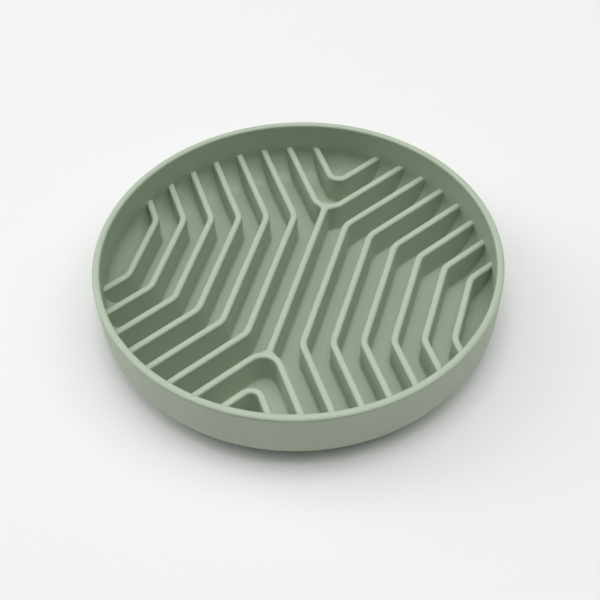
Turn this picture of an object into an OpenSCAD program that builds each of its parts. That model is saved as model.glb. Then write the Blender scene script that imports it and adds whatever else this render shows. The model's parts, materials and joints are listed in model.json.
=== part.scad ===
// Slow feeder bowl: a maze tray that drops into an outer shell, which stands on soft pads.
// Millimetres. Z is up, the origin is the centre of the ground plane, and the maze's stem runs along Y.

/* [Bowl] */
// Outside diameter at the rim
bowl_d = 250; // [220:1:280]
// Depth of the cavity, from the top of the rim to the tray's floor
cavity_depth = 40; // [36:0.5:46]
// Radius of the sweep between the cavity's floor and its wall
cavity_fillet = 18; // [12:0.5:20]

/* [Rim] */
// Width of the rim's lip
rim_w = 4.6; // [4.2:0.1:6]
// Height of the lip, from the top of the rim to its underside
rim_h = 1.8; // [1.8:0.1:2.6]
// Rounding of the rim's inner edge
rim_in_r = 1.5; // [0.8:0.1:1.6]
// Rounding of the rim's outer edge
rim_out_r = 1.5; // [0.6:0.1:1.5]
// Rounding of the lip's lower edge
lip_edge_r = 0.2; // [0.1:0.05:0.25]

/* [Tray] */
// Thickness of the tray's floor and wall
tray_t = 1.6; // [1.2:0.1:2]
// Clearance between the tray and the shell
fit_gap = 0.3; // [0.2:0.05:0.5]
// Height of the groove that shows between the rim's lip and the shell's top edge
groove_h = 0.2; // [0.15:0.05:0.8]

/* [Maze] */
// Spacing of the ribs from centre to centre
rib_pitch = 17.2; // [15:0.1:17.4]
// Thickness of a rib
rib_t = 4.4; // [3.6:0.1:5]
// Height of the ribs above the tray's floor
rib_h = 20.7; // [14:0.1:24]
// Rounding along the top edges of a rib
rib_edge_r = 1.5; // [0.5:0.1:1.6]
// Radius of the sweep at the foot of a rib
rib_foot_r = 2; // [1:0.1:3]
// Side ribs on each side of the stem
side_ribs = 6; // [4:1:6]
// Angle between the stem and each arm of the maze
arm_lean = 34.3; // [30:0.1:38]
// Distance from the centre to where the lines of two fork arms meet
fork_y = 57; // [50:0.5:60]
// Radius of the fork at each end of the stem
fork_r = 11; // [8:0.5:14]
// Radius of the inner V between two fork arms
vee_r = 6.5; // [5:0.5:8]
// Radius at which a side rib bends
bend_r = 12; // [8:0.5:16]

/* [Shell] */
// Thickness of the shell's floor and lower wall
shell_t = 1.6; // [1.2:0.1:2.4]
// Fullness of the outer corner: its radius is this much less than an even wall would give it
corner_fullness = 3; // [0:0.5:5]
// Rounding of the shell's upper outside edge
shell_edge_r = 0.4; // [0.2:0.1:0.8]

/* [Foot pads] */
// Number of soft pads under the shell
pad_count = 6; // [3:1:8]
// Diameter of a pad
pad_d = 16; // [10:0.5:20]
// Thickness of a pad
pad_t = 2.1; // [1.8:0.1:3]
// Rounding of a pad's lower edge
pad_edge_r = 0.5; // [0.3:0.1:0.8]
// Distance from the bowl's outside to the centres of the pads
pad_inset = 41; // [37:1:60]
// Height of the locating ring round each pad
ring_h = 0.9; // [0.6:0.1:1.2]
// Thickness of the locating ring
ring_t = 1.4; // [1:0.1:2]
// Clearance between a pad and its ring
ring_gap = 0.1; // [0.05:0.05:0.3]

/* [Hidden] */
$fn = 96;
sage = [0.62, 0.69, 0.60];
sage_shade = [0.52, 0.59, 0.50];
pad_grey = [0.80, 0.82, 0.78];
// Flats along each rounding of the rim
rim_flats = 12;
// Bends and forks are this much fatter all round than the straight runs that end inside them
lap = 0.02;
// Distance that a straight run reaches into a bend or fork
lap_length = 0.2;

// Heights, from the ground up
shell_base_z = pad_t;
shell_floor_z = shell_base_z + shell_t;
tray_base_z = shell_floor_z + fit_gap;
floor_z = tray_base_z + tray_t;
corner_z = floor_z + cavity_fillet;
rim_top_z = floor_z + cavity_depth;
lip_base_z = rim_top_z - rim_h;
shell_top_z = lip_base_z - groove_h;

// Radii, from the cavity outwards
bowl_r = bowl_d / 2;
cavity_r = bowl_r - rim_w;
corner_r = cavity_r - cavity_fillet;
tray_wall_r = cavity_r + tray_t;
shell_bore_r = tray_wall_r + fit_gap;
shell_low_r = shell_bore_r + shell_t;
shell_corner_r = shell_low_r - corner_r - corner_fullness;
pad_circle_r = bowl_r - pad_inset;

// A rib stands in the tray's floor to half its thickness
rib_root = tray_t / 2;
rib_half = rib_t / 2;
foot_half = rib_half + rib_foot_r;
// The foot's sweep meets the floor at a slight angle, this share of its radius below a true tangent
foot_sink_share = 0.08;
foot_arc_z = rib_foot_r * (1 - foot_sink_share);
vee_y = fork_y + rib_pitch / sin(arm_lean);
bend_tangent = bend_r * tan(arm_lean / 2);
// An arm is drawn longer than the bowl is wide and cut off by the wall
arm_length = bowl_r;

// Distance from the place where two fork arms' lines cross to the centre of the arc that joins them
function fork_rise(radius) = radius / sin(arm_lean);

// Points of an arc round a centre, from one heading angle to another
function rim_arc(centre, radius, from, to) = [
    for (i = [0:rim_flats])
        centre + radius * [
            cos(from + (to - from) * i / rim_flats),
            sin(from + (to - from) * i / rim_flats),
        ]
];

// One quarter of a ring, from radius inner to outer, down and out from the cavity's corner centre
module corner_section(inner, outer) {
    translate([corner_r, corner_z])
        intersection() {
            difference() {
                circle(r = outer);
                circle(r = inner);
            }
            translate([0, -outer])
                square(outer);
        }
}

// Half section of everything that lies inside the cavity's surface moved outwards by grow
module cavity_section(grow, top_z) {
    translate([0, floor_z - grow])
        square([corner_r, top_z - floor_z + grow]);
    translate([0, corner_z])
        square([cavity_r + grow, top_z - corner_z]);
    corner_section(0, cavity_fillet + grow);
}

// Half section of the tray: floor, corner sweep, and the wall with the lip that turns out at its top
module tray_section() {
    translate([0, tray_base_z])
        square([corner_r, tray_t]);
    corner_section(cavity_fillet, cavity_fillet + tray_t);
    polygon(concat(
        [[tray_wall_r, corner_z], [tray_wall_r, lip_base_z]],
        rim_arc([bowl_r - lip_edge_r, lip_base_z + lip_edge_r], lip_edge_r, -90, 0),
        rim_arc([bowl_r - rim_out_r, rim_top_z - rim_out_r], rim_out_r, 0, 90),
        rim_arc([cavity_r + rim_in_r, rim_top_z - rim_in_r], rim_in_r, 90, 180),
        [[cavity_r, corner_z]]
    ));
}

// Section of a rib, grown outwards: rounded top edges, upright sides and a swept foot
module rib_section(grow) {
    translate([-rib_half - grow, -rib_root])
        square([rib_t + 2 * grow, rib_root + rib_h - rib_edge_r]);
    translate([rib_edge_r - rib_half, 0])
        square([rib_t - 2 * rib_edge_r, rib_h + grow]);
    for (side = [-1, 1])
        translate([side * (rib_half - rib_edge_r), rib_h - rib_edge_r])
            circle(r = rib_edge_r + grow);
    difference() {
        translate([-foot_half, -rib_root])
            square([2 * foot_half, rib_root + foot_arc_z]);
        for (side = [-1, 1])
            translate([side * foot_half, foot_arc_z])
                circle(r = rib_foot_r - grow);
    }
}

// A straight rib along Y from one place to another
module rib_run(from, to) {
    translate([0, to, 0])
        rotate([90, 0, 0])
            linear_extrude(to - from)
                rib_section(0);
}

// A curved rib round the origin, from one heading angle through sweep degrees
module rib_bend(radius, start, sweep) {
    rotate(start)
        rotate_extrude(angle = sweep)
            translate([radius, 0])
                rib_section(lap);
}

// Two arms that meet in an arc: their lines cross at height y on the stem's axis
module fork(y, radius) {
    translate([0, y + fork_rise(radius)]) {
        rib_bend(radius, 180 + arm_lean, 180 - 2 * arm_lean);
        for (side = [0, 1])
            mirror([side, 0, 0])
                rotate(-arm_lean)
                    translate([radius, 0])
                        rib_run(-lap_length, arm_length);
    }
}

// A rib beside the stem: straight in the middle, bent outwards at both ends
module side_rib(x) {
    straight_half = fork_y - x * tan(arm_lean / 2) - bend_tangent;
    translate([x, 0])
        rib_run(-straight_half - lap_length, straight_half + lap_length);
    for (end = [0, 1])
        mirror([0, end, 0])
            translate([x + bend_r, straight_half]) {
                rib_bend(bend_r, 180 - arm_lean, arm_lean);
                rotate(180 - arm_lean)
                    translate([bend_r, 0])
                        rotate(180)
                            rib_run(-lap_length, arm_length);
            }
}

// The whole maze, still longer than the cavity
module maze() {
    stem_half = fork_y + fork_rise(fork_r) - fork_r;
    rib_run(-stem_half, stem_half);
    for (end = [0, 1])
        mirror([0, end, 0]) {
            fork(fork_y, fork_r);
            fork(vee_y, vee_r);
        }
    for (side = [0, 1])
        mirror([side, 0, 0])
            for (k = [1:side_ribs])
                side_rib(k * rib_pitch);
}

// Inner moulding: floor, maze, wall and lip in one
module maze_tray() {
    color(sage) {
        rotate_extrude()
            tray_section();
        intersection() {
            translate([0, 0, floor_z])
                maze();
            rotate_extrude()
                cavity_section(rib_root, lip_base_z);
        }
    }
}

// Half section of all that lies inside the shell's outer surface, which flares towards its rounded top edge
module shell_outline() {
    low_corner = [shell_low_r - shell_corner_r, shell_base_z + shell_corner_r];
    edge_z = shell_top_z - shell_edge_r;
    translate([0, shell_base_z])
        square([low_corner.x, shell_corner_r]);
    translate(low_corner)
        circle(r = shell_corner_r);
    polygon([
        [0, low_corner.y],
        [shell_low_r, low_corner.y],
        [bowl_r, edge_z - shell_edge_r],
        [bowl_r, edge_z],
        [0, edge_z],
    ]);
    translate([0, edge_z])
        square([bowl_r - shell_edge_r, shell_edge_r]);
    translate([bowl_r - shell_edge_r, edge_z])
        intersection() {
            circle(r = shell_edge_r);
            square(shell_edge_r);
        }
}

// Half section of the shell: its outline less the room for the tray, cut a little past the top edge
module shell_section() {
    difference() {
        shell_outline();
        cavity_section(tray_t + fit_gap, shell_top_z + fit_gap);
    }
}

// Puts a child at each pad's place
module at_pad(i) {
    rotate((i - 1) * 360 / pad_count)
        translate([pad_circle_r, 0])
            children();
}

// Outer moulding, with a locating ring for each pad under its floor
module outer_shell() {
    bore = pad_d / 2 + ring_gap;
    color(sage_shade) {
        rotate_extrude()
            shell_section();
        for (i = [1:pad_count])
            at_pad(i)
                translate([0, 0, shell_base_z - ring_h])
                    difference() {
                        cylinder(r = bore + ring_t, h = ring_h + shell_t / 2);
                        translate([0, 0, -ring_h])
                            cylinder(r = bore, h = 2 * ring_h);
                    }
    }
}

// Soft pad, pressed against the shell's underside inside its ring
module foot_pad(i) {
    color(pad_grey)
        at_pad(i)
            rotate_extrude() {
                translate([0, pad_edge_r])
                    square([pad_d / 2, pad_t - pad_edge_r]);
                square([pad_d / 2 - pad_edge_r, pad_edge_r]);
                translate([pad_d / 2 - pad_edge_r, pad_edge_r])
                    circle(r = pad_edge_r);
            }
}

maze_tray();
outer_shell();
for (i = [1:pad_count]) {
    foot_pad(i);
}
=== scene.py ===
# %% [markdown]
# A slow feeder bowl is a shallow bowl whose floor carries a maze of low ribs, which make a pet eat slowly.
# This one is two sage green mouldings, a maze tray that drops into an outer shell, with six soft pads
# under the shell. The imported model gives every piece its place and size. The lesson loads it, models each
# piece again with clean, smooth surfaces, gives it a finish, and lights it.

import json
import math

import bmesh
import bpy
from mathutils import Matrix, Vector

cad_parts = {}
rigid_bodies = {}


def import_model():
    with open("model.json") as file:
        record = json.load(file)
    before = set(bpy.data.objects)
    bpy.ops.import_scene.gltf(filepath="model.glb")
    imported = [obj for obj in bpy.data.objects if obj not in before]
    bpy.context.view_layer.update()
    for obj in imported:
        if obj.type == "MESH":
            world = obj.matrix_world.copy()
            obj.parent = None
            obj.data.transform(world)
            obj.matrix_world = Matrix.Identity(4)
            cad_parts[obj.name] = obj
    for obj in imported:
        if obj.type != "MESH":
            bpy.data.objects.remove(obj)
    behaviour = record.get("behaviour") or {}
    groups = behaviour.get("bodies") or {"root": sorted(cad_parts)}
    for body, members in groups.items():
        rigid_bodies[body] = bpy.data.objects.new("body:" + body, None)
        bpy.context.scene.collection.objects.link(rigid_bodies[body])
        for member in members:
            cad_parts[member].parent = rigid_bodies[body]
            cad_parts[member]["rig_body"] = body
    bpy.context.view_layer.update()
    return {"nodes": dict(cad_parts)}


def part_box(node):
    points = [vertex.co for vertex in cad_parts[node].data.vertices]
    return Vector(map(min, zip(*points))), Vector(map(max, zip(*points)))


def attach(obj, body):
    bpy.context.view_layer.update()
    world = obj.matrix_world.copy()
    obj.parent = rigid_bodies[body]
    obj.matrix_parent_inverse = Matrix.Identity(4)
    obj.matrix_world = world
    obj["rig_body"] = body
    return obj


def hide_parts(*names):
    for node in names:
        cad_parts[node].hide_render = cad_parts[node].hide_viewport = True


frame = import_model()

# %% [markdown]
# Everything that the frame can say is read from it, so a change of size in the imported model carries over.
# The rest are the sizes inside a piece, which no box can give: walls, the rim with its roll and the small
# tuck under it, and the ribs with their spacing, edge rounding and the angle at which their arms lean away
# from the stem. All in metres.

# %% Read the sizes
tray_low, tray_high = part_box("maze_tray")
shell_low, shell_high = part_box("outer_shell")
pad_low, pad_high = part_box("foot_pad_1")
BOWL_R = tray_high.x
RIM_TOP = tray_high.z
TRAY_BASE = tray_low.z
SHELL_TOP = shell_high.z
SHELL_BASE = pad_high.z
PAD_COUNT = sum(name.startswith("foot_pad") for name in frame["nodes"])
PAD_CIRCLE_R = (pad_low.x + pad_high.x) / 2
PAD_R = (pad_high.x - pad_low.x) / 2

TRAY_WALL = 0.0016
SHELL_WALL = 0.0016
FIT_GAP = 0.0003
CORNER_SWEEP = 0.018

RIM_WIDTH = 0.0046
RIM_HEIGHT = 0.0018
RIM_IN_R = 0.0015
ROLL_WIDTH = 0.0028
ROLL_HEIGHT = 0.0016
TUCK_WIDTH = 0.0002

RIB_PITCH = 0.0172
RIB_HALF = 0.0022
RIB_HEIGHT = 0.0207
RIB_EDGE_R = 0.0015
RIB_FOOT_R = 0.002
SIDE_RIBS = 6
ARM_LEAN = math.radians(34.3)
FORK_Y = 0.057
FORK_R = 0.011
VEE_R = 0.0065
BEND_R = 0.012

FLOOR_Z = TRAY_BASE + TRAY_WALL
CORNER_Z = FLOOR_Z + CORNER_SWEEP
CAVITY_R = BOWL_R - RIM_WIDTH
CORNER_R = CAVITY_R - CORNER_SWEEP
LIP_BASE = RIM_TOP - RIM_HEIGHT
print(f"rim {2000 * BOWL_R:.1f} mm across, cavity {1000 * (RIM_TOP - FLOOR_Z):.1f} mm deep")

# %% [markdown]
# The photograph looks down from in front, a little to the right of the maze's stem, through a long lens.
# A camera could be dragged into place by eye, but angles round a target say the same thing in numbers
# that can be measured: the rim's ellipse gives the height of the eye and its width gives the distance.

# %% Place the camera
CAMERA_AIM = Vector((0.0112, -0.0343, LIP_BASE))
CAMERA_DISTANCE = 0.7335
CAMERA_AZIMUTH = math.radians(17.4)
CAMERA_ELEVATION = math.radians(48.02)
CAMERA_ROLL = math.radians(-2.09)
CAMERA_LENS = 74.6

turn = Matrix.Rotation(CAMERA_AZIMUTH, 3, "Z")
tip = Matrix.Rotation(math.pi / 2 - CAMERA_ELEVATION, 3, "X")
roll = Matrix.Rotation(CAMERA_ROLL, 3, "Z")
aim = turn @ tip @ roll
camera = bpy.data.objects.new("camera", bpy.data.cameras.new("camera"))
camera.data.lens = CAMERA_LENS
camera.matrix_world = Matrix.Translation(CAMERA_AIM + aim.col[2] * CAMERA_DISTANCE) @ aim.to_4x4()
bpy.context.scene.collection.objects.link(camera)
bpy.context.scene.camera = camera
print("camera at", [round(value, 3) for value in camera.matrix_world.translation])

# %% [markdown]
# Bowls are turned shapes, so most pieces here are a half section spun round an axis. A section is a short
# list of corners with arcs between them, and an arc comes from one formula, so a radius can be changed in
# one place. A small helper lays the points out as vertices joined by edges, and `spin` does the rest.

# %% Draw sections and spin them
SPIN_STEPS = 192
MERGE = 1e-6


def arc(centre_r, centre_z, radius, start, end, steps, height=None):
    """Points of an arc in a section, between two angles in degrees. With its own height it is an oval."""
    height = height or radius
    angles = [math.radians(start + (end - start) * i / steps) for i in range(steps + 1)]
    return [(centre_r + radius * math.cos(a), centre_z + height * math.sin(a)) for a in angles]


def lay_out(bm, places, closed=False):
    """Adds vertices at these places, with an edge from each to the next."""
    verts = [bm.verts.new(place) for place in places]
    ends = zip(verts, verts[1:] + verts[:1]) if closed else zip(verts, verts[1:])
    edges = [bm.edges.new(pair) for pair in ends]
    return verts, edges


def spun(section, centre=(0, 0, 0), closed=False, steps=SPIN_STEPS):
    """A bmesh turned from a half section of (radius, height) points, about the upright axis at centre."""
    bm = bmesh.new()
    verts, edges = lay_out(bm, [(centre[0] + r, centre[1], z) for r, z in section], closed)
    bmesh.ops.spin(
        bm,
        geom=verts + edges,
        cent=centre,
        axis=(0, 0, 1),
        angle=math.tau,
        steps=steps,
        use_merge=True,
    )
    bmesh.ops.remove_doubles(bm, verts=bm.verts, dist=MERGE)
    bmesh.ops.recalc_face_normals(bm, faces=bm.faces)
    return bm


print(f"a section turns in {SPIN_STEPS} steps of {360 / SPIN_STEPS:.2f} degrees")

# %% [markdown]
# A bmesh is only a shape in memory. To be seen it becomes the mesh of an object, and the object stays at
# the origin, unturned, with its place in its mesh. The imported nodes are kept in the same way, so nothing
# slides when a pose moves a body or when the model is exported.

# %% Place a piece
def place_piece(bm, name):
    """Turns a bmesh into an object of the scene."""
    mesh = bpy.data.meshes.new(name)
    bm.to_mesh(mesh)
    bm.free()
    piece = bpy.data.objects.new(name, mesh)
    bpy.context.scene.collection.objects.link(piece)
    print("placed", name, "with", len(mesh.polygons), "faces")
    return piece


# %% [markdown]
# Pieces that are moulded in one shot have to become one skin, or light leaks in and an exported mesh is
# full of walls inside walls. Blender's Manifold boolean is made for closed meshes like these: it is quick,
# and what it returns is closed too. Each operation is applied at once and its helper object removed.

# %% Join solids into one skin
def combine(piece, other, operation):
    """Unites piece with, or cuts it down to, another closed solid, which is then removed."""
    modifier = piece.modifiers.new("combine", "BOOLEAN")
    modifier.operation = operation
    modifier.solver = "MANIFOLD"
    modifier.object = other
    before = piece.data
    evaluated = piece.evaluated_get(bpy.context.evaluated_depsgraph_get())
    after = bpy.data.meshes.new_from_object(evaluated)
    piece.modifiers.clear()
    piece.data = after
    helper = other.data
    bpy.data.objects.remove(other)
    bpy.data.meshes.remove(helper)
    bpy.data.meshes.remove(before)
    after.name = piece.name
    print(piece.name, "after", operation.lower(), "has", len(after.polygons), "faces")


# %% [markdown]
# The tray's body is a floor, a wide sweep, an upright wall and a lip that turns out at the top. The lip is
# rolled: it falls away in a wide oval outside and tucks in a little above the shell, so that a fine seam
# shows. Both ends of the section lie on the axis, so the spin closes by itself at the poles.

# %% Turn the tray's body
SWEEP_STEPS = 16
RIM_STEPS = 10
TUCK_STEPS = 8
tuck_height = RIM_HEIGHT - ROLL_HEIGHT
tray_outer_r = CAVITY_R + TRAY_WALL

tray_section = (
    [(0, FLOOR_Z)]
    + arc(CORNER_R, CORNER_Z, CORNER_SWEEP, -90, 0, SWEEP_STEPS)
    + arc(CAVITY_R + RIM_IN_R, RIM_TOP - RIM_IN_R, RIM_IN_R, 180, 90, RIM_STEPS)
    + arc(BOWL_R - ROLL_WIDTH, RIM_TOP - ROLL_HEIGHT, ROLL_WIDTH, 90, 0, RIM_STEPS, ROLL_HEIGHT)
    + arc(BOWL_R - TUCK_WIDTH, RIM_TOP - ROLL_HEIGHT, TUCK_WIDTH, 0, -90, TUCK_STEPS, tuck_height)[1:]
    + [(tray_outer_r, LIP_BASE)]
    + arc(CORNER_R, CORNER_Z, CORNER_SWEEP + TRAY_WALL, 0, -90, SWEEP_STEPS)
    + [(0, TRAY_BASE)]
)
tray = place_piece(spun(tray_section), "maze_tray_skin")

# %% [markdown]
# Every rib of the maze has one section: rounded top edges, upright sides and a small sweep at the foot. A
# curve with a bevel object could carry that section along a path, but it twists and pinches at bends. Here
# the section is pushed along straight runs with `extrude` and turned through bends with `spin`, which keeps
# every ring square to the path and gives exact arcs.

# %% Draw the ribs' section
# The foot's sweep stops a little before it is level, so that it cuts the floor at a clean angle. This is
# how far it goes, as a share of its radius.
FOOT_SINK = 0.92
EDGE_STEPS = 8
FOOT_STEPS = 8
ROOT_Z = FLOOR_Z - TRAY_WALL / 2
RIB_TOP = FLOOR_Z + RIB_HEIGHT


def rib_section():
    """Closed outline of a rib as (sideways, height), the right half and then its mirror image."""
    foot_centre_z = FLOOR_Z + RIB_FOOT_R * FOOT_SINK
    foot_start = 180 + math.degrees(math.asin(FOOT_SINK))
    foot = arc(RIB_HALF + RIB_FOOT_R, foot_centre_z, RIB_FOOT_R, foot_start, 180, FOOT_STEPS)
    edge = arc(RIB_HALF - RIB_EDGE_R, RIB_TOP - RIB_EDGE_R, RIB_EDGE_R, 0, 90, EDGE_STEPS)
    right = [(foot[0][0], ROOT_Z)] + foot + edge
    return right + [(-u, z) for u, z in reversed(right)]


print("rib section:", len(rib_section()), "points")

# %% [markdown]
# Two moves carry a section along its path. `extrude_edge_only` gives back everything that it made, so the
# new ring is picked out as the edges whose ends are both new, while `spin` says by itself what came last.

# %% Carry the section along a path
BEND_STEPS = 14


def both_in(edge, verts):
    """True if both ends of an edge are among these vertices."""
    return edge.verts[0] in verts and edge.verts[1] in verts


def push(bm, edges, step):
    """Extrudes a ring of edges along a vector and returns the new ring."""
    made = bmesh.ops.extrude_edge_only(bm, edges=edges)["geom"]
    verts = [item for item in made if isinstance(item, bmesh.types.BMVert)]
    bmesh.ops.translate(bm, verts=verts, vec=step)
    return [item for item in made if isinstance(item, bmesh.types.BMEdge) and both_in(item, verts)]


def bend(bm, edges, centre, angle):
    """Spins a ring of edges round an upright axis and returns the last ring."""
    made = bmesh.ops.spin(
        bm, geom=edges, cent=centre, axis=(0, 0, 1), angle=angle, steps=BEND_STEPS
    )
    return [item for item in made["geom_last"] if isinstance(item, bmesh.types.BMEdge)]


def ring_at(bm, origin, side):
    """Lays the ribs' section out at a point, with its sideways direction given."""
    places = [(origin[0] + u * side[0], origin[1] + u * side[1], z) for u, z in rib_section()]
    return lay_out(bm, places, closed=True)[1]


def mirrored(bm, axis):
    """Mirrors a bmesh in the plane square to axis, welded along that plane."""
    bmesh.ops.mirror(bm, geom=bm.verts[:] + bm.edges[:] + bm.faces[:], axis=axis, merge_dist=MERGE)
    return bm


print("a bend turns in", BEND_STEPS, "steps")

# %% [markdown]
# The maze is the same to the left and right and to the front and back, so a quarter of it is enough. Side
# ribs start on the line across the middle, run straight, bend outwards and end in a long arm. Forks and
# the small inner Vs start on the stem's axis as an arc and end in an arm too. Arms run past the wall and
# are cut off there later, which is easier than working out where each one meets the sweep.

# %% Build the ribs
ARM_LENGTH = BOWL_R
arm_way = Vector((math.sin(ARM_LEAN), math.cos(ARM_LEAN), 0))
bend_tangent = BEND_R * math.tan(ARM_LEAN / 2)


def side_rib(bm, x):
    """Half of a rib beside the stem, from the line across the middle to past the wall."""
    straight = FORK_Y - x * math.tan(ARM_LEAN / 2) - bend_tangent
    ring = ring_at(bm, (x, 0), (1, 0))
    ring = push(bm, ring, (0, straight, 0))
    ring = bend(bm, ring, (x + BEND_R, straight, 0), -ARM_LEAN)
    ring = push(bm, ring, arm_way * ARM_LENGTH)
    bmesh.ops.edgeloop_fill(bm, edges=ring)


def fork_arm(bm, y, radius):
    """One of two arms that meet in an arc on the stem's axis. Their middle lines would cross at y."""
    centre_y = y + radius / math.sin(ARM_LEAN)
    ring = ring_at(bm, (0, centre_y - radius), (0, 1))
    ring = bend(bm, ring, (0, centre_y, 0), math.pi / 2 - ARM_LEAN)
    ring = push(bm, ring, arm_way * ARM_LENGTH)
    bmesh.ops.edgeloop_fill(bm, edges=ring)


def side_ribs():
    """All ribs beside the stem."""
    bm = bmesh.new()
    for k in range(1, SIDE_RIBS + 1):
        side_rib(bm, k * RIB_PITCH)
    mirrored(bm, "Y")
    return mirrored(bm, "X")


def forks():
    """The fork and the inner V at each end of the stem."""
    bm = bmesh.new()
    fork_arm(bm, FORK_Y, FORK_R)
    fork_arm(bm, FORK_Y + RIB_PITCH / math.sin(ARM_LEAN), VEE_R)
    mirrored(bm, "X")
    return mirrored(bm, "Y")


def closed_solid(bm, name):
    """Turns all faces outwards and places the piece."""
    bmesh.ops.recalc_face_normals(bm, faces=bm.faces)
    open_edges = sum(not edge.is_manifold for edge in bm.edges)
    print(name, "has", open_edges, "open edges")
    return place_piece(bm, name)


maze = closed_solid(side_ribs(), "side_ribs")
combine(maze, closed_solid(forks(), "forks"), "UNION")

# %% [markdown]
# The stem runs from fork to fork. Where it meets a fork the moulding has a small round fillet on each side,
# as the mould's cutter leaves one. It is made in the same way as the rest: the last rings of the stem are
# pushed on by short steps and widened by what a quarter circle gives at that distance.

# %% Add the stem with its fillets
FILLET_R = 0.0024
FILLET_STEPS = 8


def stem():
    """The middle rib, widened where it meets the forks."""
    bm = bmesh.new()
    arc_bottom = FORK_Y + FORK_R / math.sin(ARM_LEAN) - FORK_R
    fork_face = arc_bottom - RIB_HALF
    ring = ring_at(bm, (0, 0), (1, 0))
    ring = push(bm, ring, (0, fork_face - FILLET_R, 0))
    width = RIB_HALF
    for i in range(1, FILLET_STEPS + 1):
        lean = math.pi / 2 * i / FILLET_STEPS
        before = math.pi / 2 * (i - 1) / FILLET_STEPS
        ring = push(bm, ring, (0, FILLET_R * (math.sin(lean) - math.sin(before)), 0))
        wider = RIB_HALF + FILLET_R * (1 - math.cos(lean))
        verts = list({vert for edge in ring for vert in edge.verts})
        bmesh.ops.scale(bm, verts=verts, vec=(wider / width, 1, 1))
        width = wider
    ring = push(bm, ring, (0, RIB_HALF, 0))
    bmesh.ops.edgeloop_fill(bm, edges=ring)
    return mirrored(bm, "Y")


combine(maze, closed_solid(stem(), "stem"), "UNION")

# %% [markdown]
# Now the maze is cut down to the bowl. The tool is the cavity itself, spun from its section and grown by
# half the wall, so that every arm ends inside the wall and every foot inside the floor. What is left is
# united with the body, and the tray is one closed skin.

# %% Fit the maze into the tray
plug_section = (
    [(0, ROOT_Z)]
    + arc(CORNER_R, CORNER_Z, CORNER_SWEEP + TRAY_WALL / 2, -90, 0, SWEEP_STEPS)
    + [(CAVITY_R + TRAY_WALL / 2, LIP_BASE), (0, LIP_BASE)]
)
plug = place_piece(spun(plug_section), "cavity_plug")
combine(maze, plug, "INTERSECT")
combine(tray, maze, "UNION")

# %% [markdown]
# The shell is a second bowl round the first, with clearance between them. Its wall thickens towards the
# top and at the corner, which is tighter outside than inside, and its upper edge is rounded. A copy of the
# tray's body with a Solidify modifier would give an even wall, so the shell gets a section of its own.

# %% Turn the shell
CORNER_FULLNESS = 0.003
SHELL_EDGE_R = 0.0005
SHELL_LIP_R = 0.0002
EDGE_ARC_STEPS = 6
shell_bore_r = tray_outer_r + FIT_GAP
shell_low_r = shell_bore_r + SHELL_WALL
shell_corner_r = shell_low_r - CORNER_R - CORNER_FULLNESS
shell_edge_z = SHELL_TOP - SHELL_EDGE_R

shell_section = (
    [(0, SHELL_BASE + SHELL_WALL)]
    + arc(CORNER_R, CORNER_Z, shell_bore_r - CORNER_R, -90, 0, SWEEP_STEPS)
    + arc(shell_bore_r + SHELL_LIP_R, SHELL_TOP - SHELL_LIP_R, SHELL_LIP_R, 180, 90, EDGE_ARC_STEPS)
    + arc(BOWL_R - SHELL_EDGE_R, shell_edge_z, SHELL_EDGE_R, 90, 0, EDGE_ARC_STEPS)
    + [(BOWL_R, shell_edge_z - SHELL_EDGE_R)]
    + arc(shell_low_r - shell_corner_r, SHELL_BASE + shell_corner_r, shell_corner_r, 0, -90, SWEEP_STEPS)
    + [(0, SHELL_BASE)]
)
shell = place_piece(spun(shell_section), "outer_shell_skin")

# %% [markdown]
# The underside has a low ring round each pad, which holds it in place. The rings are moulded with the
# shell, so each is spun where it stands, from half way into the floor, and united with the shell.

# %% Add the rings round the pads
RING_GAP = 0.0001
RING_T = 0.0014
RING_EDGE_R = 0.0003
RING_STEPS = 64
ring_inner = PAD_R + RING_GAP
ring_outer = ring_inner + RING_T
ring_low = shell_low.z + RING_EDGE_R
ring_root = SHELL_BASE + SHELL_WALL / 2


def pad_place(i):
    """Centre of one pad on the pads' circle."""
    angle = math.tau * i / PAD_COUNT
    return PAD_CIRCLE_R * math.cos(angle), PAD_CIRCLE_R * math.sin(angle), 0


ring_section = (
    [(ring_inner, ring_root)]
    + arc(ring_inner + RING_EDGE_R, ring_low, RING_EDGE_R, 180, 270, EDGE_ARC_STEPS)
    + arc(ring_outer - RING_EDGE_R, ring_low, RING_EDGE_R, 270, 360, EDGE_ARC_STEPS)
    + [(ring_outer, ring_root)]
)
for i in range(PAD_COUNT):
    ring = spun(ring_section, pad_place(i), closed=True, steps=RING_STEPS)
    combine(shell, place_piece(ring, "pad_ring"), "UNION")
print(PAD_COUNT, "rings on a circle of", round(1000 * PAD_CIRCLE_R), "mm radius")

# %% [markdown]
# A silicone pad is a thick disc with a soft lower edge and fine grooves in its sole for grip. A plain disc
# would do for its size, but the grooves are what tells silicone from plastic when the bowl is picked up.

# %% Turn the pads
PAD_EDGE_R = 0.0005
GROOVE_R = 0.0004
GROOVE_PLACES = (0.002, 0.004, 0.006)
GROOVE_STEPS = 6


def pad_section():
    """Half section of a pad, from the middle of its sole round to the middle of its top."""
    points = [(0, 0)]
    for place in GROOVE_PLACES:
        points += arc(place, 0, GROOVE_R, 180, 0, GROOVE_STEPS)
    points += arc(PAD_R - PAD_EDGE_R, PAD_EDGE_R, PAD_EDGE_R, -90, 0, EDGE_ARC_STEPS)
    return points + [(PAD_R, SHELL_BASE), (0, SHELL_BASE)]


pads = [
    place_piece(spun(pad_section(), pad_place(i), steps=RING_STEPS), f"foot_pad_{i + 1}_silicone")
    for i in range(PAD_COUNT)
]
print(len(pads), "pads")

# %% [markdown]
# Flat floors should look flat and round edges round. Smooth shading alone bends the light across a floor
# from its edges, because a corner's normal is the mean of the faces round it. Edges over a limiting angle
# are marked sharp, and the Weighted Normal modifier lets the large faces have their way at the others.

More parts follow.
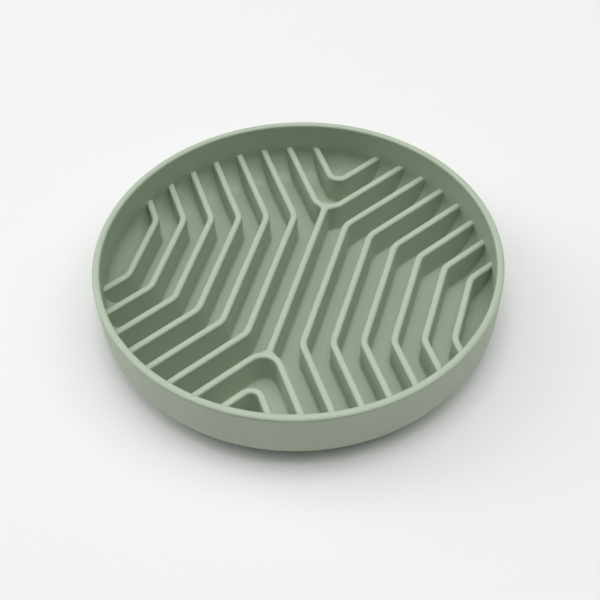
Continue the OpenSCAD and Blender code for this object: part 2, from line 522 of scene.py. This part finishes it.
# %% Shade the pieces smoothly
SHARP_ANGLE = math.radians(38)
LARGE_FACE_WEIGHT = 60


def shade(piece):
    """Smooth shading with true flats."""
    piece.data.shade_smooth()
    piece.data.set_sharp_from_angle(angle=SHARP_ANGLE)
    weighted = piece.modifiers.new("true_flats", "WEIGHTED_NORMAL")
    weighted.keep_sharp = True
    weighted.weight = LARGE_FACE_WEIGHT


for piece in [tray, shell, *pads]:
    shade(piece)
    edges = piece.data.edges
    print(piece.name, "has", sum(edge.use_edge_sharp for edge in edges), "sharp edges of", len(edges))

# %% [markdown]
# Every piece is tied to the body that it moves with, and the imported node in its place is hidden.

# %% Tie the pieces to the frame
for piece, node, slot in [
    (tray, "maze_tray", "tray_plastic"),
    (shell, "outer_shell", "shell_plastic"),
    *[(pad, f"foot_pad_{i + 1}", "pad_silicone") for i, pad in enumerate(pads)],
]:
    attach(piece, frame["nodes"][node]["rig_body"])
    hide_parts(node)

# %% [markdown]
# The mouldings are matt polypropylene: one colour right through, with a fine spark-eroded grain that breaks
# up the light. The grain is a bump, because it is far too fine to model. Roughness and colour wander a
# little over a few centimetres, as they do on a real moulding, where the melt has flowed and cooled.

# %% Start a finish
def new_material(name, colour, roughness, gloss):
    """A Principled material whose constant values are set on the shader itself."""
    material = bpy.data.materials.new(name)
    material.use_nodes = True
    shader = material.node_tree.nodes["Principled BSDF"]
    shader.inputs["Base Color"].default_value = (*colour, 1)
    shader.inputs["Roughness"].default_value = roughness
    shader.inputs["Specular IOR Level"].default_value = gloss
    print("material", name)
    return material, shader


def noise(material, scale, detail):
    """Noise that stays with the piece, in Object coordinates. Scale is in cells per metre."""
    tree = material.node_tree
    where = tree.nodes.new("ShaderNodeTexCoord")
    texture = tree.nodes.new("ShaderNodeTexNoise")
    texture.inputs["Scale"].default_value = scale
    texture.inputs["Detail"].default_value = detail
    tree.links.new(where.outputs["Object"], texture.inputs["Vector"])
    return texture.outputs["Fac"]


# %% [markdown]
# Noise rarely leaves the middle of its range, so that is stretched to the two values that a finish should
# wander between. A number goes through Map Range, a colour through a ramp, and a height through a bump.

# %% Let a finish wander
NOISE_LOW = 0.3
NOISE_HIGH = 0.7
print("noise is taken from", NOISE_LOW, "to", NOISE_HIGH)


def wander(material, source, target, low, high):
    """Drives a shader's number from noise, between two values."""
    tree = material.node_tree
    spread = tree.nodes.new("ShaderNodeMapRange")
    spread.inputs["From Min"].default_value = NOISE_LOW
    spread.inputs["From Max"].default_value = NOISE_HIGH
    spread.inputs["To Min"].default_value = low
    spread.inputs["To Max"].default_value = high
    tree.links.new(source, spread.inputs["Value"])
    tree.links.new(spread.outputs["Result"], target)


def mottle(material, source, target, dark, light):
    """Drives a shader's colour from noise, between two colours."""
    tree = material.node_tree
    ramp = tree.nodes.new("ShaderNodeValToRGB")
    low, high = ramp.color_ramp.elements
    low.position = NOISE_LOW
    low.color = (*dark, 1)
    high.position = NOISE_HIGH
    high.color = (*light, 1)
    tree.links.new(source, ramp.inputs["Fac"])
    tree.links.new(ramp.outputs["Color"], target)


def grain(material, shader, source, height):
    """A fine bump, whose height is in metres."""
    tree = material.node_tree
    bump = tree.nodes.new("ShaderNodeBump")
    bump.inputs["Strength"].default_value = 1
    bump.inputs["Distance"].default_value = height
    tree.links.new(source, bump.inputs["Height"])
    tree.links.new(bump.outputs["Normal"], shader.inputs["Normal"])


# %% [markdown]
# Both mouldings are of the same plastic. Each still gets a material of its own, because the part's record
# names a slot for each, and someone may want a tray and a shell of two colours.

# %% Mix the plastic
SAGE_DARK = (0.397, 0.468, 0.36)
SAGE_LIGHT = (0.41, 0.483, 0.372)
PLASTIC_ROUGHNESS = 0.5
PLASTIC_ROUGHNESS_RANGE = (0.46, 0.56)
PLASTIC_GLOSS = 0.5
COLOUR_CELLS = 45
ROUGHNESS_CELLS = 120
CELL_DETAIL = 3
GRAIN_CELLS = 2200
GRAIN_DETAIL = 2
GRAIN_HEIGHT = 0.00002


def sage_plastic(name):
    """Matt sage green polypropylene."""
    material, shader = new_material(name, SAGE_LIGHT, PLASTIC_ROUGHNESS, PLASTIC_GLOSS)
    colour_noise = noise(material, COLOUR_CELLS, CELL_DETAIL)
    mottle(material, colour_noise, shader.inputs["Base Color"], SAGE_DARK, SAGE_LIGHT)
    roughness_noise = noise(material, ROUGHNESS_CELLS, CELL_DETAIL)
    wander(material, roughness_noise, shader.inputs["Roughness"], *PLASTIC_ROUGHNESS_RANGE)
    grain(material, shader, noise(material, GRAIN_CELLS, GRAIN_DETAIL), GRAIN_HEIGHT)
    return material


for moulding, name in ((tray, "tray_plastic"), (shell, "shell_plastic")):
    moulding.data.materials.clear()
    moulding.data.materials.append(sage_plastic(name))

# %% [markdown]
# Silicone is softer to the eye: paler, a little translucent at the edges, with no grain but a bloom of
# dust that sheen imitates well.

# %% Mix the silicone
SILICONE = (0.6, 0.62, 0.58)
SILICONE_ROUGHNESS = 0.6
SILICONE_ROUGHNESS_RANGE = (0.52, 0.66)
SILICONE_GLOSS = 0.4
DUST_SHEEN = 0.15
LIGHT_INSIDE = 0.2
LIGHT_DEPTH = 0.002
SMEAR_CELLS = 300
SMEAR_DETAIL = 2

silicone, silicone_shader = new_material("pad_silicone", SILICONE, SILICONE_ROUGHNESS, SILICONE_GLOSS)
silicone_shader.inputs["Sheen Weight"].default_value = DUST_SHEEN
silicone_shader.inputs["Subsurface Weight"].default_value = LIGHT_INSIDE
silicone_shader.inputs["Subsurface Scale"].default_value = LIGHT_DEPTH
smears = noise(silicone, SMEAR_CELLS, SMEAR_DETAIL)
wander(silicone, smears, silicone_shader.inputs["Roughness"], *SILICONE_ROUGHNESS_RANGE)
for pad in pads:
    pad.data.materials.append(silicone)
print("silicone on", len(pads), "pads")

# %% [markdown]
# The photograph is a plain high-key product shot on a white table. White can be had by more light or by
# what the camera is shown, and more light would bleach the bowl. So the table throws back a plain amount
# of light, and rays that come from the camera, or by way of a gloss, see it a little whiter. A socket that
# tells those rays from the rest is made once and serves the table and the world.

# %% Tell the camera's rays from the rest
def larger(tree, first, second):
    """A socket with the larger of two values."""
    node = tree.nodes.new("ShaderNodeMath")
    node.operation = "MAXIMUM"
    tree.links.new(first, node.inputs[0])
    tree.links.new(second, node.inputs[1])
    return node.outputs["Value"]


def seen_directly(tree):
    """A socket that is 1 for rays from the camera, also by way of a glossy or clear surface."""
    path = tree.nodes.new("ShaderNodeLightPath").outputs
    either = larger(tree, path["Is Camera Ray"], path["Is Glossy Ray"])
    return larger(tree, either, path["Is Transmission Ray"])


# %% [markdown]
# Its colour is picked by the kind of ray: a plain white to light the bowl by, and a paler one to
# look at.

# %% Set the table
TABLE_HALF = 4.0
TABLE_WHITE = (0.8, 0.8, 0.8)
TABLE_SEEN = (0.842, 0.842, 0.842)
TABLE_ROUGHNESS = 0.8
TABLE_GLOSS = 0.1

table_bm = bmesh.new()
bmesh.ops.create_grid(table_bm, x_segments=1, y_segments=1, size=TABLE_HALF)
table = place_piece(table_bm, "table")
table_material, table_shader = new_material("table_white", TABLE_WHITE, TABLE_ROUGHNESS, TABLE_GLOSS)
table.data.materials.append(table_material)
table_tree = table_material.node_tree

pick = table_tree.nodes.new("ShaderNodeMix")
pick.data_type = "RGBA"
pick.inputs["A"].default_value = (*TABLE_WHITE, 1)
pick.inputs["B"].default_value = (*TABLE_SEEN, 1)
table_tree.links.new(seen_directly(table_tree), pick.inputs["Factor"])
table_tree.links.new(pick.outputs["Result"], table_shader.inputs["Base Color"])

# %% [markdown]
# The table is one-sided, so that a view from below shows the underside of the bowl. It also fades out long
# before its edges, so that a low view has no hard horizon. Both are one mix with a clear shader: wholly
# clear from behind, and more and more so with the distance from the bowl.

# %% Fade the table out
FADE_START = 0.9
FADE_END = 2.6

spot = table_tree.nodes.new("ShaderNodeTexCoord")
distance = table_tree.nodes.new("ShaderNodeVectorMath")
distance.operation = "LENGTH"
fade = table_tree.nodes.new("ShaderNodeMapRange")
fade.interpolation_type = "SMOOTHSTEP"
fade.inputs["From Min"].default_value = FADE_START
fade.inputs["From Max"].default_value = FADE_END
table_tree.links.new(spot.outputs["Object"], distance.inputs["Vector"])
table_tree.links.new(distance.outputs["Value"], fade.inputs["Value"])

side = table_tree.nodes.new("ShaderNodeNewGeometry")
gone = larger(table_tree, fade.outputs["Result"], side.outputs["Backfacing"])
clear = table_tree.nodes.new("ShaderNodeBsdfTransparent")
vanishing = table_tree.nodes.new("ShaderNodeMixShader")
table_tree.links.new(gone, vanishing.inputs["Fac"])
table_tree.links.new(table_shader.outputs["BSDF"], vanishing.inputs[1])
table_tree.links.new(clear.outputs["BSDF"], vanishing.inputs[2])
table_tree.links.new(vanishing.outputs["Shader"], table_tree.nodes["Material Output"].inputs["Surface"])
print("the table fades from", FADE_START, "to", FADE_END, "metres")

# %% [markdown]
# Wide soft lamps reach the floors of the channels and leave only a thin shadow where the bowl curves in to
# the ground. A broad and a smaller lamp hang overhead, one stands to the left and gives the walls a
# direction, and a weaker one answers it from the right. One lamp could be turned up to the same level, but
# the walls and the ribs would then show no shape.

# %% Hang the lamps
# Each lamp's place, the side of its square and its power in watts.
LAMPS = {
    "ceiling": ((0, 0, 2.8), 4.8, 68),
    "soft_box": ((0, 0, 3.0), 1.4, 27),
    "window": ((-2.6, 0.2, 1.6), 2.0, 32.5),
    "reflector": ((2.0, 0.6, 2.6), 2.0, 17.3),
}


def soft_light(name, place, size, power):
    """A square area light that shines at the bowl."""
    lamp = bpy.data.lights.new(name, "AREA")
    lamp.shape = "SQUARE"
    lamp.size = size
    lamp.energy = power
    light = bpy.data.objects.new(name, lamp)
    light.location = place
    light.rotation_mode = "QUATERNION"
    light.rotation_quaternion = (-Vector(place)).to_track_quat("-Z", "Y")
    bpy.context.scene.collection.objects.link(light)
    return light


for name, (place, size, power) in LAMPS.items():
    soft_light(name, place, size, power)
print("lamps:", ", ".join(LAMPS))

# %% [markdown]
# A bowl that stands on a table is black underneath, which is true but shows nothing of its pads. A narrow
# lamp under the table lights only the underside, and light linking lets the table hold back every other
# lamp and not this one. Its beam ends inside the corner, so that the shadow round the bowl stays as it is.

# %% Light the underside
GLOW_PLACE = (0, 0, -0.3)
GLOW_ACROSS = 0.164
GLOW_POWER = 0.035
GLOW_SPREAD = math.radians(7)

glow = soft_light("underside_glow", GLOW_PLACE, GLOW_ACROSS, GLOW_POWER)
glow.data.shape = "DISK"
glow.data.spread = GLOW_SPREAD
passed = bpy.data.collections.new("passed_by_the_glow")
passed.objects.link(table)
passed.collection_objects[0].light_linking.link_state = "EXCLUDE"
glow.light_linking.blocker_collection = passed
beam = GLOW_ACROSS / 2 - GLOW_PLACE[2] * math.tan(GLOW_SPREAD / 2)
print(f"the glow reaches {1000 * beam:.0f} mm from the middle, the bowl {1000 * BOWL_R:.0f} mm")

# %% [markdown]
# What the lamps leave out comes from the world: a little even fill on the bowl, and the white horizon that
# the camera and the table's and the plastic's soft reflections see.

# %% Fill in with the world
WHITE = (1, 1, 1, 1)
FILL = 0.06
HORIZON_WHITE = 0.88
world = bpy.data.worlds.new("white_room")
world.use_nodes = True
bpy.context.scene.world = world
world_tree = world.node_tree
fill = world_tree.nodes["Background"]
fill.inputs["Color"].default_value = WHITE
fill.inputs["Strength"].default_value = FILL
seen = world_tree.nodes.new("ShaderNodeBackground")
seen.inputs["Color"].default_value = WHITE
seen.inputs["Strength"].default_value = HORIZON_WHITE
choose = world_tree.nodes.new("ShaderNodeMixShader")
world_tree.links.new(seen_directly(world_tree), choose.inputs["Fac"])
world_tree.links.new(fill.outputs["Background"], choose.inputs[1])
world_tree.links.new(seen.outputs["Background"], choose.inputs[2])
world_tree.links.new(choose.outputs["Shader"], world_tree.nodes["World Output"].inputs["Surface"])

bpy.context.scene.view_settings.view_transform = "Standard"
print("fill", FILL, "and horizon", HORIZON_WHITE)
